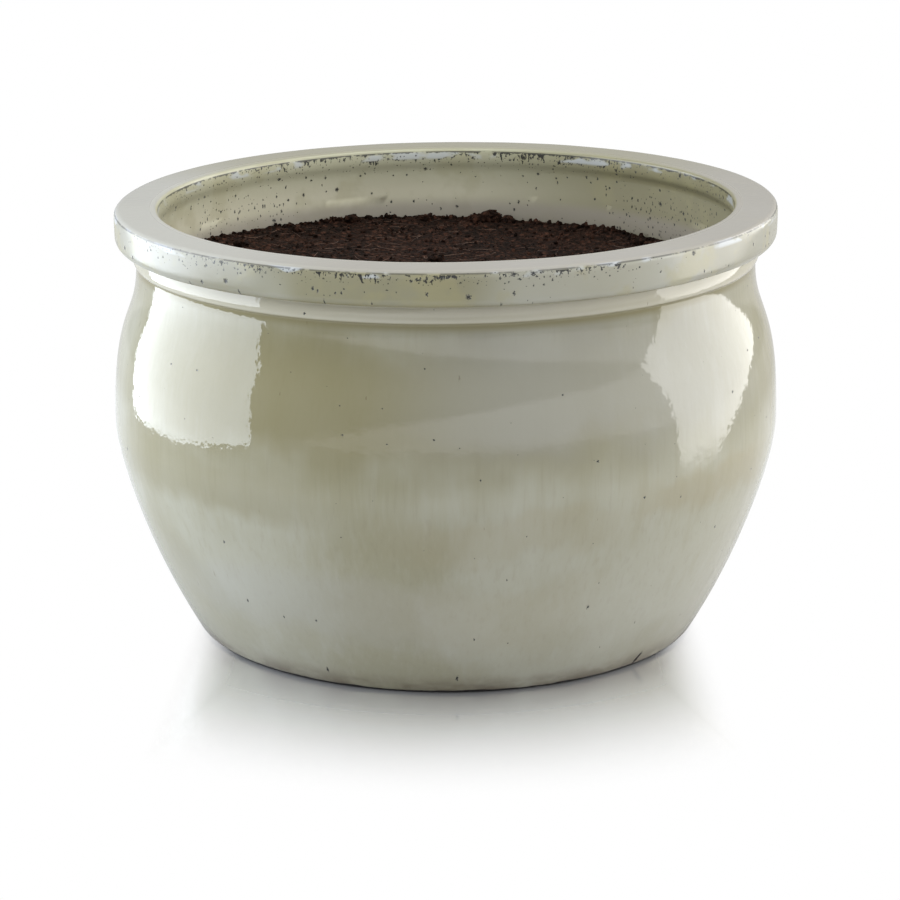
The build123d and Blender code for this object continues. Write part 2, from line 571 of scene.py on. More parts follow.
def place_clods(ground):
    """The few big clods, each by the side of the pot where it lies, its way in and its size."""
    chance = random.Random(11)
    clods = []
    for degrees, radius, size in [
        (80, 190, 9), (83, 184, 7.5), (76, 188, 6.5), (95, 189, 5), (112, 186, 6),
        (60, 187, 5), (128, 176, 5.5), (40, 180, 5), (150, 168, 6), (205, 150, 7),
        (250, 140, 8), (300, 120, 7), (330, 160, 6), (20, 150, 7), (270, 60, 8), (100, 40, 6),
    ]:
        angle = math.radians(degrees)
        x, y = radius * MM * math.cos(angle), radius * MM * math.sin(angle)
        clod = lump(f"clod_{degrees}", size * MM, 3, degrees)
        roughen(clod, "clod_crumbs", 3 * MM, 0.9 * MM)
        clod.location = (x, y, height_on(ground, x, y) + 0.12 * size * MM)
        clod.rotation_euler = (0, 0, chance.uniform(0, WHOLE_TURN))
        apply_all(clod)
        clods.append(clod)
    return clods


def lay_fibres(ground):
    """Fine dry root fibres that lie on the mix."""
    chance = random.Random(5)
    fibres = []
    while len(fibres) < FIBRE_COUNT:
        angle = chance.uniform(0, WHOLE_TURN)
        radius = 188 * MM * math.sqrt(chance.random())
        x, y = radius * math.cos(angle), radius * math.sin(angle)
        heading = chance.gauss(math.radians(30), 0.7)
        length = chance.uniform(6, 21) * MM
        bend = chance.uniform(-0.9, 0.9)
        deselect_all()
        bpy.ops.curve.primitive_nurbs_path_add()
        fibre = named("fibre")
        for step, point in enumerate(fibre.data.splines[0].points):
            way = length * (step / 4 - 0.5)
            turned = heading + bend * (step / 4 - 0.5)
            px, py = x + way * math.cos(turned), y + way * math.sin(turned)
            level = height_on(ground, px, py) or MIX_HIGH.z
            point.co = (px, py, level + chance.uniform(0.1, 0.9) * MM, 1)
        fibre.data.resolution_u = 2
        fibre.data.bevel_depth = chance.uniform(0.1, 0.24) * MM
        fibre.data.bevel_resolution = 0
        fibre.data.use_fill_caps = True
        fibres.append(fibre)
    deselect_all()
    for fibre in fibres:
        fibre.select_set(True)
    bpy.context.view_layer.objects.active = fibres[0]
    bpy.ops.object.convert(target="MESH")
    return join(fibres, "root_fibres")


# ---------------------------------------------------------------- the drainage gravel


def pebble(number):
    """One pebble: a knocked-about blank, rounded off again."""
    deselect_all()
    bpy.ops.mesh.primitive_uv_sphere_add(segments=8, ring_count=5, radius=1 * MM)
    piece = named(f"pebble_{number}")
    bpy.ops.object.mode_set(mode="EDIT")
    bpy.ops.mesh.select_all(action="SELECT")
    bpy.ops.transform.vertex_random(offset=0.3 * MM, seed=20 + number)
    bpy.ops.mesh.vertices_smooth(factor=0.5, repeat=1)
    bpy.ops.transform.resize(value=(1.25, 1.1, 0.9))
    bpy.ops.object.mode_set(mode="OBJECT")
    return piece


def gravel_edge(height):
    """The radius of the pot's inside at that height."""
    wall = wall_stops(WALL + FIT_GAP, WALL_COUNT)
    radius, _ = min(wall, key=lambda stop: abs(stop[1] - height))
    return radius


def over_mesh(x, y, spare):
    """Whether a point lies over one of the drain meshes."""
    for angle in DRAIN_ANGLES:
        along = x * math.cos(angle) + y * math.sin(angle) - DRAIN_CIRCLE_R
        across = -x * math.sin(angle) + y * math.cos(angle)
        if max(abs(along), abs(across)) < MESH_HALF + spare:
            return True
    return False


PEBBLE_SIZE = 5.4
PEBBLE_STEP = 11.5 * MM


def lay_gravel():
    """Pebbles in layers that fill the space between the pot's floor and the mix."""
    chance = random.Random(3)
    models = [pebble(number) for number in range(1, 7)]
    levels = [FLOOR_Z + 5.4 * MM, FLOOR_Z + 14.5 * MM, GRAVEL_HIGH.z - 5.6 * MM]
    pebbles = []
    for level, height in enumerate(levels):
        edge = gravel_edge(height) - 6.5 * MM
        rows = int(edge / PEBBLE_STEP) + 2
        for row in range(-rows, rows + 1):
            for column in range(-rows, rows + 1):
                x = (column + 0.5 * (row % 2) + 0.3 * level) * PEBBLE_STEP + chance.uniform(-1, 1) * MM
                y = row * PEBBLE_STEP * 0.87 + chance.uniform(-1, 1) * MM
                inner_hidden = level == 1 and math.hypot(x, y) < edge - 2.2 * PEBBLE_STEP
                if math.hypot(x, y) > edge or (inner_hidden and not over_mesh(x, y, 0)):
                    continue
                rest = height + (3.6 * MM if level == 0 and over_mesh(x, y, 5 * MM) else 0)
                turn = [chance.uniform(0, WHOLE_TURN) for _ in range(3)]
                size = PEBBLE_SIZE * chance.uniform(0.88, 1.06)
                pebbles.append(copy_of(chance.choice(models), (x, y, rest), turn, size))
    for model in models:
        bpy.data.objects.remove(model)
    gravel = join(pebbles, "gravel_pebbles")
    smooth(gravel, 60)
    gravel.data.materials.append(gravel_finish())
    hand_over(gravel, "gravel", "drainage_gravel")


# ---------------------------------------------------------------- finishes


def feed(tree, socket, value):
    """Sets a socket to a value, or links another node's output to it."""
    if isinstance(value, bpy.types.NodeSocket):
        tree.links.new(value, socket)
    elif hasattr(socket.default_value, "__len__") and len(socket.default_value) == 4:
        socket.default_value = (*value, 1)
    else:
        socket.default_value = value


def calc(tree, operation, *terms):
    node = tree.nodes.new("ShaderNodeMath")
    node.operation = operation
    for socket, term in zip(node.inputs, terms):
        feed(tree, socket, term)
    return node.outputs[0]


def vector_calc(tree, operation, *terms):
    node = tree.nodes.new("ShaderNodeVectorMath")
    node.operation = operation
    for socket, term in zip(node.inputs, terms):
        feed(tree, socket, term)
    return node.outputs["Value" if operation == "DOT_PRODUCT" else "Vector"]


def noise(tree, place, scale, detail=2.0, roughness=0.5, distortion=0.0):
    node = tree.nodes.new("ShaderNodeTexNoise")
    feed(tree, node.inputs["Vector"], place)
    feed(tree, node.inputs["Scale"], scale)
    feed(tree, node.inputs["Detail"], detail)
    feed(tree, node.inputs["Roughness"], roughness)
    feed(tree, node.inputs["Distortion"], distortion)
    return node.outputs["Fac"]


def fade(tree, value, start, end):
    """0 up to the start, 1 from the end on, and a soft rise between; start may be the larger."""
    node = tree.nodes.new("ShaderNodeMapRange")
    node.interpolation_type = "SMOOTHSTEP"
    feed(tree, node.inputs["Value"], value)
    feed(tree, node.inputs["From Min"], start)
    feed(tree, node.inputs["From Max"], end)
    return node.outputs["Result"]


def stripe(tree, value, start, full, leave, end):
    """0 up to the start, 1 between the full and the leave, and 0 again from the end on."""
    return both(tree, fade(tree, value, start, full), fade(tree, value, end, leave))


def both(tree, first, *others):
    """Masks multiplied: where all of them are."""
    for other in others:
        first = calc(tree, "MULTIPLY", first, other)
    return first


def either(tree, first, *others):
    """The greatest of the masks: where any of them is."""
    for other in others:
        first = calc(tree, "MAXIMUM", first, other)
    return first


def tint(tree, share, under, over):
    """The under colour, covered by the over colour for that share."""
    node = tree.nodes.new("ShaderNodeMix")
    node.data_type = "RGBA"
    feed(tree, node.inputs["Factor"], share)
    sockets = [s for s in node.inputs if s.type == "RGBA"]
    for socket, value in zip(sockets, (under, over)):
        feed(tree, socket, value)
    return [s for s in node.outputs if s.type == "RGBA"][0]


def new_finish(name):
    """A new material, with its node tree and its shader."""
    finish = bpy.data.materials.new(name)
    finish.use_nodes = True
    tree = finish.node_tree
    return finish, tree, tree.nodes["Principled BSDF"]


def place_on(tree):
    """Where a point is on the planter, in metres."""
    return tree.nodes.new("ShaderNodeTexCoord").outputs["Object"]


def split(tree, place):
    node = tree.nodes.new("ShaderNodeSeparateXYZ")
    feed(tree, node.inputs[0], place)
    return node.outputs


def dents(tree, height):
    """Relief from a height in metres."""
    node = tree.nodes.new("ShaderNodeBump")
    node.inputs["Distance"].default_value = 1.0
    feed(tree, node.inputs["Height"], height)
    return node.outputs["Normal"]


def new_effect(name, inputs, outputs):
    """A node group: inputs by name, kind and default, outputs by name and kind."""
    group = bpy.data.node_groups.new(name, "ShaderNodeTree")
    for label, kind, default in inputs:
        socket = group.interface.new_socket(label, in_out="INPUT", socket_type=f"NodeSocket{kind}")
        if default is not None:
            socket.default_value = default
    for label, kind in outputs:
        group.interface.new_socket(label, in_out="OUTPUT", socket_type=f"NodeSocket{kind}")
    return group, group.nodes.new("NodeGroupInput").outputs, group.nodes.new("NodeGroupOutput").inputs


def use_effect(tree, group, **values):
    node = tree.nodes.new("ShaderNodeGroup")
    node.node_tree = group
    for label, value in values.items():
        feed(tree, node.inputs[label.replace("_", " ")], value)
    return node.outputs


def grain_effect():
    """Stony grain: a cloudy shade and its relief in metres."""
    group, given, made = new_effect(
        "stony_grain",
        [("Place", "Vector", None), ("Grain", "Float", 300.0), ("Depth", "Float", 0.0002)],
        [("Shade", "Float"), ("Height", "Float")],
    )
    coarse = noise(group, given["Place"], given["Grain"], 4, 0.65)
    fine = noise(group, given["Place"], calc(group, "MULTIPLY", given["Grain"], 4.3), 3, 0.6)
    shade = calc(group, "MULTIPLY_ADD", coarse, 0.65, calc(group, "MULTIPLY", fine, 0.35))
    group.links.new(shade, made["Shade"])
    group.links.new(calc(group, "MULTIPLY", shade, given["Depth"]), made["Height"])
    return group


def speck_effect():
    """Round specks, one in each cell of a pattern, of uneven size; some cells stay empty."""
    group, given, made = new_effect(
        "round_specks",
        [
            ("Place", "Vector", None),
            ("Spacing", "Float", 0.01),
            ("Largest", "Float", 0.001),
            ("Share", "Float", 0.5),
        ],
        [("Mask", "Float")],
    )
    cells = group.nodes.new("ShaderNodeTexVoronoi")
    cells.voronoi_dimensions = "2D"
    per_metre = calc(group, "DIVIDE", 1.0, given["Spacing"])
    feed(group, cells.inputs["Vector"], given["Place"])
    feed(group, cells.inputs["Scale"], per_metre)
    draw = split(group, cells.outputs["Color"])
    shown = calc(group, "LESS_THAN", draw["X"], given["Share"])
    uneven = calc(group, "ADD", calc(group, "MULTIPLY", both(group, draw["Y"], draw["Y"]), 0.75), 0.25)
    reach = both(group, given["Largest"], per_metre, uneven)
    ragged = calc(group, "SUBTRACT", noise(group, given["Place"], 1300, 2, 0.6), 0.5)
    distance = calc(group, "MULTIPLY_ADD", ragged, calc(group, "MULTIPLY", reach, 3.0),
                    cells.outputs["Distance"])
    mask = fade(group, distance, reach, calc(group, "MULTIPLY", reach, 0.45))
    group.links.new(both(group, mask, shown), made["Mask"])
    return group


def runs_effect():
    """Dark iron runs that hang from a line and thin out below it."""
    group, given, made = new_effect(
        "iron_runs",
        [
            ("Place", "Vector", None),
            ("Below", "Float", 0.0),
            ("Length", "Float", 0.01),
            ("Share", "Float", 0.5),
        ],
        [("Mask", "Float")],
    )
    drawn_down = vector_calc(group, "MULTIPLY", given["Place"], (1, 1, 0.5))
    strands = noise(group, drawn_down, 430, 3, 0.65, 0.4)
    thick = noise(group, given["Place"], 60, 2, 0.5)
    way = calc(group, "DIVIDE", given["Below"], given["Length"])
    level = calc(group, "SUBTRACT", calc(group, "MULTIPLY_ADD", thick, 0.45, strands), 0.2)
    bar = calc(group, "ADD", calc(group, "SUBTRACT", 0.78, calc(group, "MULTIPLY", given["Share"], 0.3)),
               calc(group, "MULTIPLY", way, 0.22))
    dense = fade(group, calc(group, "SUBTRACT", level, bar), 0.0, 0.03)
    below = both(group, fade(group, way, 0.0, 0.08), fade(group, way, 1.0, 0.85))
    group.links.new(both(group, dense, below), made["Mask"])
    return group


EFFECTS = {"grain": grain_effect(), "specks": speck_effect(), "runs": runs_effect()}


def specks(tree, place, spacing, largest, share):
    """The mask of round specks on a flat place."""
    return use_effect(
        tree, EFFECTS["specks"], Place=place, Spacing=spacing, Largest=largest, Share=share
    )["Mask"]


def iron_runs(tree, place, below, length, share):
    """The mask of dark runs that hang from where "below" is 0."""
    return use_effect(
        tree, EFFECTS["runs"], Place=place, Below=below, Length=length, Share=share
    )["Mask"]


# Colours of the glaze on the body
OLIVE = (0.280, 0.262, 0.168)
GREY_GREEN = (0.372, 0.362, 0.284)
PALE_GREY = (0.46, 0.455, 0.41)
KHAKI = (0.225, 0.200, 0.105)
STONE_GREY = (0.36, 0.36, 0.34)
HONEY = (0.30, 0.255, 0.145)

# Colours of the glaze on the collar, the rim and in the mouth
COLLAR_CREAM = (0.54, 0.51, 0.41)
BAND_GREY = (0.25, 0.25, 0.235)
RIM_GREY = (0.350, 0.328, 0.290)
YELLOW_GREEN = (0.36, 0.325, 0.17)
MOUTH_GREY = (0.65, 0.61, 0.455)
MOUTH_GREEN = (0.42, 0.42, 0.28)
PINK_GREY = (0.37, 0.325, 0.285)
# Icy blue: thick glaze on the rim's edges, and also a painted highlight where those rounded edges
# reflect the light.
ICE_BLUE_AND_HIGHLIGHT = (0.60, 0.64, 0.70)

# Colours of iron and clay; the darkest clay colour is also the painted contact shadow at the foot
INK = (0.013, 0.014, 0.019)
RUST = (0.085, 0.045, 0.022)
BUFF_CLAY = (0.31, 0.215, 0.135)
BROWN_CLAY = (0.20, 0.125, 0.075)
PALE_CLAY = (0.42, 0.33, 0.23)
# Near black: also the painted contact shadow along the foot line.
DARK_CLAY_AND_SHADOW = (0.016, 0.012, 0.009)

# Colours of the mix and its fibres
PEAT = (0.009, 0.0042, 0.0025)
BROWN_PEAT = (0.028, 0.0118, 0.0068)
# Painted highlight on the raised grain of the mix.
PEAT_HIGHLIGHT = (0.10, 0.044, 0.025)
# Painted shade in the low grain of the mix.
PEAT_CAVITY_SHADE = (0.002, 0.0013, 0.001)
BARK_FLECK = (0.19, 0.085, 0.05)
PALE_CRUMB = (0.10, 0.043, 0.026)
# Painted shade in the gaps between the crumbs.
CRUMB_GAP_SHADE = (0.003, 0.0016, 0.001)
DARK_FIBRE = (0.024, 0.012, 0.008)
PALE_FIBRE = (0.16, 0.092, 0.062)

# Colours of the drainage
GREY_PEBBLE = (0.16, 0.15, 0.14)
PALE_PEBBLE = (0.30, 0.27, 0.23)
BROWN_PEBBLE = (0.24, 0.15, 0.09)
PEBBLE_GRAIN = (0.5, 0.47, 0.42)
MESH_GREEN = (0.012, 0.022, 0.014)
LIME_SCALE = (0.20, 0.20, 0.17)
BROWN_WIRE = (0.40, 0.27, 0.19)
DULLED_WIRE = (0.27, 0.18, 0.13)

# Patches on the rim band: the side of the pot in degrees from the front, how far round they
# reach, their strength and their colour
BAND_PATCHES = [(-62, 42, 0.35, BAND_GREY), (28, 26, 0.5, PALE_GREY), (64, 32, 0.35, BAND_GREY)]

# Patches on the body, where the glaze lay thicker or thinner: the side of the pot, the height,
# how far they reach round and up, their strength and their colour
GLAZE_PATCHES = [
    (-12, 205 * MM, 66, 62 * MM, 0.8, KHAKI),
    (-48, 140 * MM, 34, 26 * MM, 0.5, KHAKI),
    (30, 215 * MM, 45, 60 * MM, 0.5, STONE_GREY),
    (52, 138 * MM, 24, 22 * MM, 0.4, HONEY),
    (10, 118 * MM, 26, 20 * MM, 0.22, HONEY),
    (-28, 60 * MM, 40, 34 * MM, 0.3, STONE_GREY),
    (4, 62 * MM, 30, 30 * MM, 0.2, HONEY),
]

MID_WALL_R = MOUTH_R + 5.3 * MM  # inside of the wall's middle, at the neck
MID_WALL_SWELL = 21 * MM  # how much wider that is at the belly
RIM_EDGE_Z = HEIGHT - 2 * MM  # where the iron gathers on the band's outer edge
MOUTH_EDGE_Z = HEIGHT - 2.6 * MM  # and on the mouth's edge
CRACK_PLACE = 0.79 * NECK_R  # the way round from the front to the crack
CRACK_HIGH = 11 * MM
CRACK_LEAN = 0.55  # how far the crack leans over, for its rise


def toward(tree, place, degrees, start, end):
    """1 on the side of the pot that faces that way, 0 behind it; degrees from the front, to +X."""
    angle = math.radians(degrees)
    side = (math.sin(angle), -math.cos(angle), 0)
    outwards = vector_calc(tree, "NORMALIZE", vector_calc(tree, "MULTIPLY", place, (1, 1, 0)))
    facing = vector_calc(tree, "DOT_PRODUCT", outwards, side)
    return fade(tree, facing, math.cos(math.radians(start)), math.cos(math.radians(end)))


def unrolled(tree, place):
    """The pot's surface rolled out flat: the way round, and the way up and over the rim."""
    x, y, z = split(tree, place)
    around = calc(tree, "MULTIPLY", calc(tree, "ARCTAN2", x, calc(tree, "MULTIPLY", y, -1)), NECK_R)
    radius = calc(tree, "SQRT", calc(tree, "ADD", both(tree, x, x), both(tree, y, y)))
    up = calc(tree, "ADD", z, calc(tree, "SUBTRACT", BELLY_R, radius))
    node = tree.nodes.new("ShaderNodeCombineXYZ")
    feed(tree, node.inputs["X"], around)
    feed(tree, node.inputs["Y"], up)
    return node.outputs[0], radius


class Zones:
    """Where a point of the glaze is, and the zones of the pot as masks."""

    def __init__(self, tree):
        self.place = place_on(tree)
        self.flat, radius = unrolled(tree, self.place)
        x, _, level = split(tree, self.place)
        warped = fade(tree, level, BELLY_Z, HEIGHT)
        self.z = z = calc(tree, "SUBTRACT", level, both(tree, x, warped, RIM_LIFT / RIM_R))
        swell = fade(tree, z, NECK_Z, BELLY_Z)
        mid_wall = calc(tree, "MULTIPLY_ADD", swell, MID_WALL_SWELL, MID_WALL_R)
        within = fade(tree, calc(tree, "SUBTRACT", radius, mid_wall), 0.8 * MM, -0.8 * MM)
        self.inside = both(tree, within, fade(tree, z, BELLY_Z, BELLY_Z + 20 * MM))
        self.outside = calc(tree, "SUBTRACT", 1.0, self.inside)
        self.in_mouth = both(tree, self.inside, fade(tree, z, MIX_HIGH.z - 9 * MM, MIX_HIGH.z))
        self.body = both(tree, self.outside, fade(tree, z, BAND_Z, BAND_Z - 3 * MM))
        self.collar = both(tree, self.outside, stripe(tree, z, NECK_Z - 1 * MM, NECK_Z + 1 * MM,
                                                      BAND_Z - 1 * MM, BAND_Z + 1 * MM))
        at_band = both(tree, fade(tree, z, BAND_Z - 1 * MM, BAND_Z + 2 * MM), self.outside)
        self.band_and_mouth = either(tree, at_band, self.in_mouth)
        self.outer_band = both(tree, self.band_and_mouth, self.outside)
        self.rim_top = both(tree, fade(tree, z, HEIGHT - 2.2 * MM, HEIGHT - 0.8 * MM),
                            fade(tree, radius, MOUTH_R + 0.5 * MM, MOUTH_R + 2 * MM))


def body_glaze(tree, on, wide_streaks, fine_streaks):
    """The ground colour: clouds with streaks that ran down in the firing, and larger patches."""
    clouds = noise(tree, on.place, 7.5, 2, 0.5, 0.3)
    ground = tint(tree, fade(tree, clouds, 0.36, 0.62), OLIVE, GREY_GREEN)
    for streaks, start, end, strength, shade in [
        (wide_streaks, 0.5, 0.72, 0.14, PALE_GREY),
        (wide_streaks, 0.47, 0.3, 0.2, OLIVE),
        (fine_streaks, 0.52, 0.7, 0.06, PALE_GREY),
        (fine_streaks, 0.46, 0.3, 0.06, RUST),
    ]:
        share = both(tree, fade(tree, streaks, start, end), on.body, strength)
        ground = tint(tree, share, ground, shade)
    edge = calc(tree, "MULTIPLY_ADD", noise(tree, on.place, 16, 3, 0.6), 60 * MM, -30 * MM)
    for degrees, height, wide, tall, strength, shade in GLAZE_PATCHES:
        off = calc(tree, "SUBTRACT", calc(tree, "ADD", on.z, edge), height)
        near = fade(tree, calc(tree, "ABSOLUTE", off), tall, tall * 0.3)
        patch = both(tree, toward(tree, on.place, degrees, wide, wide * 0.3), near)
        ground = tint(tree, both(tree, patch, on.body, strength), ground, shade)
    low = fade(tree, on.z, 120 * MM, 20 * MM)
    low_sides = either(tree, toward(tree, on.place, -75, 60, 10), toward(tree, on.place, 65, 60, 10))
    ground = tint(tree, both(tree, low, low_sides, 0.2), ground, PALE_GREY)
    return tint(tree, both(tree, low, on.body, 0.16), ground, PALE_GREY)


def rim_glaze(tree, on, ground):
    """The mouth, the collar with a crease above and below it and the painted shade along them, the band
    and the flat of the rim.
    """
    place, z = on.place, on.z
    under_lip = fade(tree, z, HEIGHT - 34 * MM, HEIGHT - 12 * MM)
    # Painted shade: the glaze is darkened along the crease at the neck under the collar and along the
    # one at the band's lower edge, where shade falls.
    crease_shade = either(
        tree,
        stripe(tree, z, NECK_Z - 7 * MM, NECK_Z - 1 * MM, NECK_Z, NECK_Z + 2 * MM),
        stripe(tree, z, BAND_Z - 3 * MM, BAND_Z, BAND_Z, BAND_Z + 2.5 * MM),
    )
    ground = tint(tree, both(tree, on.inside, 0.85), ground, MOUTH_GREY)
    ground = tint(tree, both(tree, on.in_mouth, under_lip, 0.6), ground, MOUTH_GREEN)
    ground = tint(tree, both(tree, on.collar, 0.75), ground, COLLAR_CREAM)
    ground = tint(tree, both(tree, crease_shade, on.outside, 0.9), ground, KHAKI)
    for degrees, wide, strength, shade in BAND_PATCHES:
        patch = both(tree, on.outer_band, toward(tree, place, degrees, wide, wide * 0.35))
        ground = tint(tree, both(tree, patch, strength), ground, shade)
    shaded_side = both(tree, on.inside, toward(tree, place, 106, 76, 24))
    pools = fade(tree, noise(tree, place, 30, 3, 0.6), 0.48, 0.64)
    above_mix = both(tree, on.in_mouth, fade(tree, z, MIX_HIGH.z + 16 * MM, MIX_HIGH.z + 6 * MM))
    ground = tint(tree, both(tree, shaded_side, 0.85), ground, KHAKI)
    ground = tint(tree, both(tree, on.outer_band, pools, 0.45), ground, YELLOW_GREEN)
    ground = tint(tree, both(tree, on.in_mouth, pools, 0.3), ground, YELLOW_GREEN)
    ground = tint(tree, both(tree, above_mix, 0.6), ground, PINK_GREY)
    ground = tint(tree, both(tree, on.rim_top, 0.85), ground, RIM_GREY)
    ground = tint(tree, both(tree, on.rim_top, toward(tree, place, -85, 75, 30), 0.7), ground, PALE_GREY)
    return tint(tree, both(tree, on.rim_top, toward(tree, place, 180, 75, 30), 0.8), ground, OLIVE)


def ice_glaze_and_highlight(tree, on, gathered):
    """The mask of thick icy-blue glaze that gathered along the two edges of the rim, and of the painted
    highlight it also stands for, where the rounded edges reflect the light.
    """
    at_edge = either(
        tree,
        both(tree, on.outside, stripe(tree, on.z, HEIGHT - 6 * MM, HEIGHT - 4 * MM,
                                      HEIGHT - 1.6 * MM, HEIGHT - 0.6 * MM)),
        both(tree, on.in_mouth, stripe(tree, on.z, HEIGHT - 9 * MM, HEIGHT - 7 * MM,
                                       HEIGHT - 3.4 * MM, HEIGHT - 2.4 * MM)),
    )
    return both(tree, at_edge, fade(tree, gathered, 0.52, 0.62))


def iron_marks(tree, on, gathered):
    """The mask of iron runs and pepper under the rim's two edges, and the broken lines they
    hang from. In the mouth the runs start below the icy-blue glaze and its painted highlight."""
    place = on.place
    front = toward(tree, place, -14, 62, 20)
    back = toward(tree, place, 176, 75, 25)
    below_edge = calc(tree, "SUBTRACT", RIM_EDGE_Z, on.z)
    below_mouth = calc(tree, "SUBTRACT", MOUTH_EDGE_Z, on.z)
    below_ice = calc(tree, "SUBTRACT", below_mouth, both(tree, fade(tree, gathered, 0.50, 0.60), 5 * MM))
    outer_share = calc(tree, "MULTIPLY_ADD", front, 0.55, 0.18)
    inner_share = calc(tree, "MULTIPLY_ADD", back, 0.72, 0.1)
    outer_runs = iron_runs(tree, place, below_edge, 9 * MM, outer_share)
    inner_runs = iron_runs(tree, place, below_ice, 10 * MM, inner_share)

    outer_pepper = both(tree, front, on.outside, 0.75,
                        stripe(tree, below_edge, -1 * MM, 0.5 * MM, 1 * MM, 12 * MM))
    inner_pepper = both(tree, on.in_mouth, 0.45,
                        stripe(tree, below_mouth, 0.3 * MM, 1.2 * MM, 3 * MM, 20 * MM))
    pepper_share = calc(tree, "MULTIPLY", either(tree, outer_pepper, inner_pepper), 0.75)
    pepper = specks(tree, on.flat, 2.6 * MM, 0.95 * MM, pepper_share)

    outer_breaks = fade(tree, noise(tree, place, 75, 3, 0.7), 0.38, 0.48)
    inner_breaks = fade(tree, noise(tree, place, 60, 3, 0.7), 0.40, 0.46)
    hem = calc(tree, "MULTIPLY_ADD", noise(tree, place, 210, 3, 0.65), -4 * MM, 2 * MM)
    outer_line = both(tree, on.outside, outer_breaks,
                      stripe(tree, below_edge, -0.8 * MM, -0.4 * MM, 0.1 * MM, 0.5 * MM))
    inner_line = both(tree, on.inside, inner_breaks, fade(tree, below_mouth, -0.4 * MM, 0.1 * MM),
                      fade(tree, calc(tree, "ADD", below_mouth, hem), 1.3 * MM, 0.5 * MM))
    return either(
        tree,
        both(tree, outer_runs, on.outside),
        both(tree, inner_runs, on.in_mouth),
        pepper,
        both(tree, outer_line, 0.6),
        both(tree, inner_line, 0.85),
    )


def glaze_pits(tree, on, shifted):
    """The mask of pits: over the band and the mouth, in clusters there, and few on the body."""
    crowd = fade(tree, noise(tree, on.place, 17, 2, 0.5), 0.56, 0.72)
    clusters = either(tree, toward(tree, on.place, -132, 17, 7), toward(tree, on.place, 126, 20, 8))
    low_wall = fade(tree, on.z, MIX_HIGH.z + 36 * MM, MIX_HIGH.z + 22 * MM)
    crowd = either(tree, crowd, both(tree, clusters, on.inside, low_wall, 1.8))
    drawn_flat = vector_calc(tree, "MULTIPLY", on.flat, (1, 0.6, 1))
    small = specks(tree, drawn_flat, 3.6 * MM, 1.0 * MM, calc(tree, "MULTIPLY_ADD", crowd, 0.48, 0.05))
    large = specks(tree, shifted, 14 * MM, 1.9 * MM, 0.5)
    sparse = specks(tree, shifted, 27 * MM, 1.1 * MM, 0.5)
    under_top = fade(tree, on.z, HEIGHT - 0.3 * MM, HEIGHT - 2.5 * MM)
    rim_pits = both(tree, either(tree, small, large), on.band_and_mouth, under_top)
    return either(tree, rim_pits, both(tree, on.body, sparse))


def bare_clay_and_contact_shadow(tree, on):
    """The mask where the clay is unglazed, painted near black: a ragged line at the ground, which is
    also a painted contact shadow under the foot, and a short firing crack that rises from the foot."""
    ragged = calc(tree, "MULTIPLY", noise(tree, on.place, 45, 3, 0.6), 3 * MM)
    # Painted contact shadow: the unglazed foot line is near black where the pot meets the ground.
    foot_line_and_shadow = fade(tree, calc(tree, "SUBTRACT", on.z, ragged), 0.9 * MM, 0.2 * MM)
    along, _, _ = split(tree, on.flat)
    lean = calc(tree, "MULTIPLY", on.z, CRACK_LEAN)
    wander = calc(tree, "MULTIPLY_ADD", noise(tree, on.place, 170, 3, 0.6), 5 * MM, -2.5 * MM)
    off = calc(tree, "SUBTRACT", calc(tree, "SUBTRACT", along, CRACK_PLACE), lean)
    off = calc(tree, "ABSOLUTE", calc(tree, "ADD", off, wander))
    crack = both(tree, fade(tree, off, 2.2 * MM, 1.0 * MM),
                 fade(tree, on.z, CRACK_HIGH, CRACK_HIGH - 2 * MM))
    return either(tree, foot_line_and_shadow, crack)


